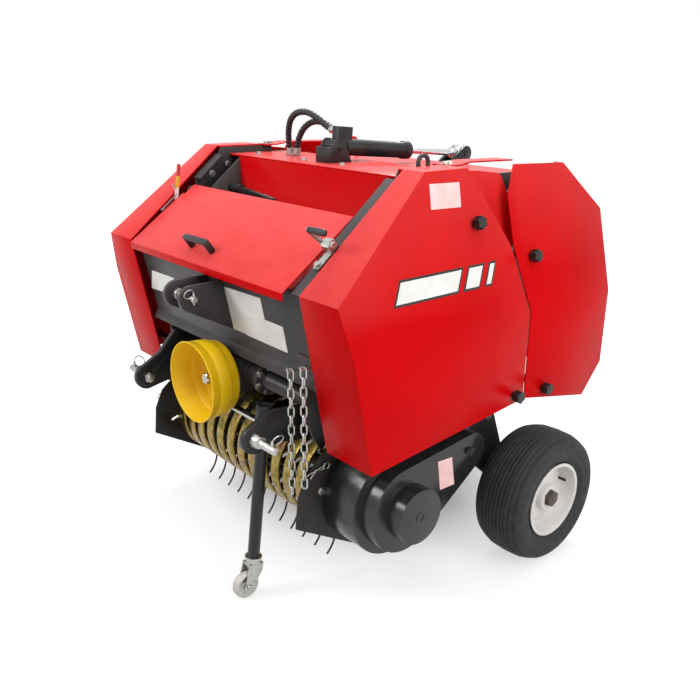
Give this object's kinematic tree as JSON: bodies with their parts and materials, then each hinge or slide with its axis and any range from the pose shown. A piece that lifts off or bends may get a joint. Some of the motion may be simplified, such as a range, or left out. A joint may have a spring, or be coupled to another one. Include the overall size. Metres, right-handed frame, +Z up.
{
  "type": "mini round baler",
  "caption": "Small three-point-hitch round baler with roller chamber, tined pickup, hinged twine lid, hydraulic tailgate and swivel-caster parking jack.",
  "frame": {"origin": "on the ground under the middle of the whole width and length", "axes": "+X towards the side with the chain case, +Y towards the tailgate, +Z up"},
  "size_m": [1.415, 1.165, 1.2879],
  "materials": {
    "red_paint": "glossy",
    "charcoal_paint": "satin",
    "black_paint": "satin",
    "zinc_plate": "satin",
    "yellow_zinc": "satin",
    "chrome": "polished",
    "yellow_plastic": "matte",
    "black_plastic": "matte",
    "pale_nylon": "matte",
    "hose_rubber": "matte",
    "tyre_rubber": "matte",
    "white_paint": "satin",
    "spring_steel": "satin",
    "indicator_paint": "satin"
  },
  "bodies": {
    "chassis": {"side_walls": "charcoal_paint", "chamber_rollers": "charcoal_paint", "front_panel": "charcoal_paint", "shoulder_frame": "charcoal_paint", "top_plate": "red_paint", "hinge_flaps": "red_paint", "twine_box": "red_paint", "twine_gear": "black_paint", "front_cover_left": "red_paint", "front_cover_right": "red_paint", "cover_posts": "black_paint", "cover_knobs": "black_plastic", "gearbox": "charcoal_paint", "drive_tube": "charcoal_paint", "pto_guard": "yellow_plastic", "lower_arms": "black_paint", "lower_pins": "zinc_plate", "hitch_beam": "black_paint", "top_link_ears": "charcoal_paint", "top_link_pin": "zinc_plate", "pickup_plates": "black_paint", "pickup_bands": "yellow_zinc", "pickup_tube": "black_paint", "chain_case": "black_paint", "feed_floor": "charcoal_paint", "axle_beam": "black_paint", "wheel_arms": "black_paint", "lifting_eye": "charcoal_paint", "cylinder_bracket": "black_paint", "jack_socket": "black_paint", "chains": "zinc_plate", "crank_handle": "zinc_plate", "indicator": "indicator_paint", "hoses": "hose_rubber"},
    "tailgate": {"tailgate_frame": "charcoal_paint", "tailgate_rollers": "charcoal_paint", "tailgate_top": "red_paint", "rod_lugs": "black_paint", "tailgate_cover_left": "red_paint", "tailgate_cover_right": "red_paint", "tailgate_knobs": "black_plastic"},
    "lid_body": {"lid": "red_paint", "lid_handle": "black_plastic"},
    "wheel_left": {"tyre_left": "tyre_rubber", "rim_left": "white_paint"},
    "wheel_right": {"tyre_right": "tyre_rubber", "rim_right": "white_paint"},
    "reel": {"pickup_reel": "spring_steel"},
    "input_shaft": {"pto_shaft": "zinc_plate"},
    "jack": {"jack_leg": "black_paint"},
    "caster": {"caster_fork": "zinc_plate"},
    "caster_roll": {"caster_wheel": "pale_nylon"},
    "barrel": {"cylinder_barrel": "black_paint"},
    "rod": {"cylinder_rod": "chrome"}
  },
  "joints": [
    {"name": "tailgate_hinge", "type": "hinge", "parent": "chassis", "child": "tailgate", "pos_m": [0, 0.1513, 1.07812], "axis": [1, 0, 0], "range_deg": [0, 55]},
    {"name": "barrel_pivot", "type": "hinge", "parent": "chassis", "child": "barrel", "pos_m": [0, -0.0155, 1.185], "axis": [1, 0, 0], "range_deg": [0, 41], "deforming": ["hoses"]},
    {"name": "rod_slide", "type": "slide", "parent": "barrel", "child": "rod", "axis": [0, 0.9966, -0.0825], "range_m": [-0.135, 0]},
    {"name": "lid_hinge", "type": "hinge", "parent": "chassis", "child": "lid_body", "pos_m": [0, -0.2635, 1.032], "axis": [-1, 0, 0], "range_deg": [0, 110]},
    {"name": "wheel_left_spin", "type": "hinge", "parent": "chassis", "child": "wheel_left", "pos_m": [-0.625, 0.2645, 0.2], "axis": [1, 0, 0], "continuous": true},
    {"name": "wheel_right_spin", "type": "hinge", "parent": "chassis", "child": "wheel_right", "pos_m": [0.625, 0.2645, 0.2], "axis": [1, 0, 0], "continuous": true},
    {"name": "reel_spin", "type": "hinge", "parent": "chassis", "child": "reel", "pos_m": [0, -0.2285, 0.294], "axis": [1, 0, 0], "continuous": true},
    {"name": "input_shaft_spin", "type": "hinge", "parent": "chassis", "child": "input_shaft", "pos_m": [0, -0.4355, 0.56], "axis": [0, 1, 0], "continuous": true},
    {"name": "jack_raise", "type": "slide", "parent": "chassis", "child": "jack", "axis": [0, 0.1132, 0.9936], "range_m": [0, 0.18]},
    {"name": "caster_swivel", "type": "hinge", "parent": "jack", "child": "caster", "pos_m": [0.262, -0.49117, 0.33331], "axis": [0, 0.1132, 0.9936], "continuous": true},
    {"name": "caster_spin", "type": "hinge", "parent": "caster", "child": "caster_roll", "pos_m": [0.262, -0.545, 0.0375], "axis": [1, 0, 0], "continuous": true}
  ],
  "couplings": [
    {"joint": "barrel_pivot", "follows": "tailgate_hinge", "ratio": 0.73336},
    {"joint": "rod_slide", "follows": "tailgate_hinge", "m_per_rad": -0.13592}
  ]
}
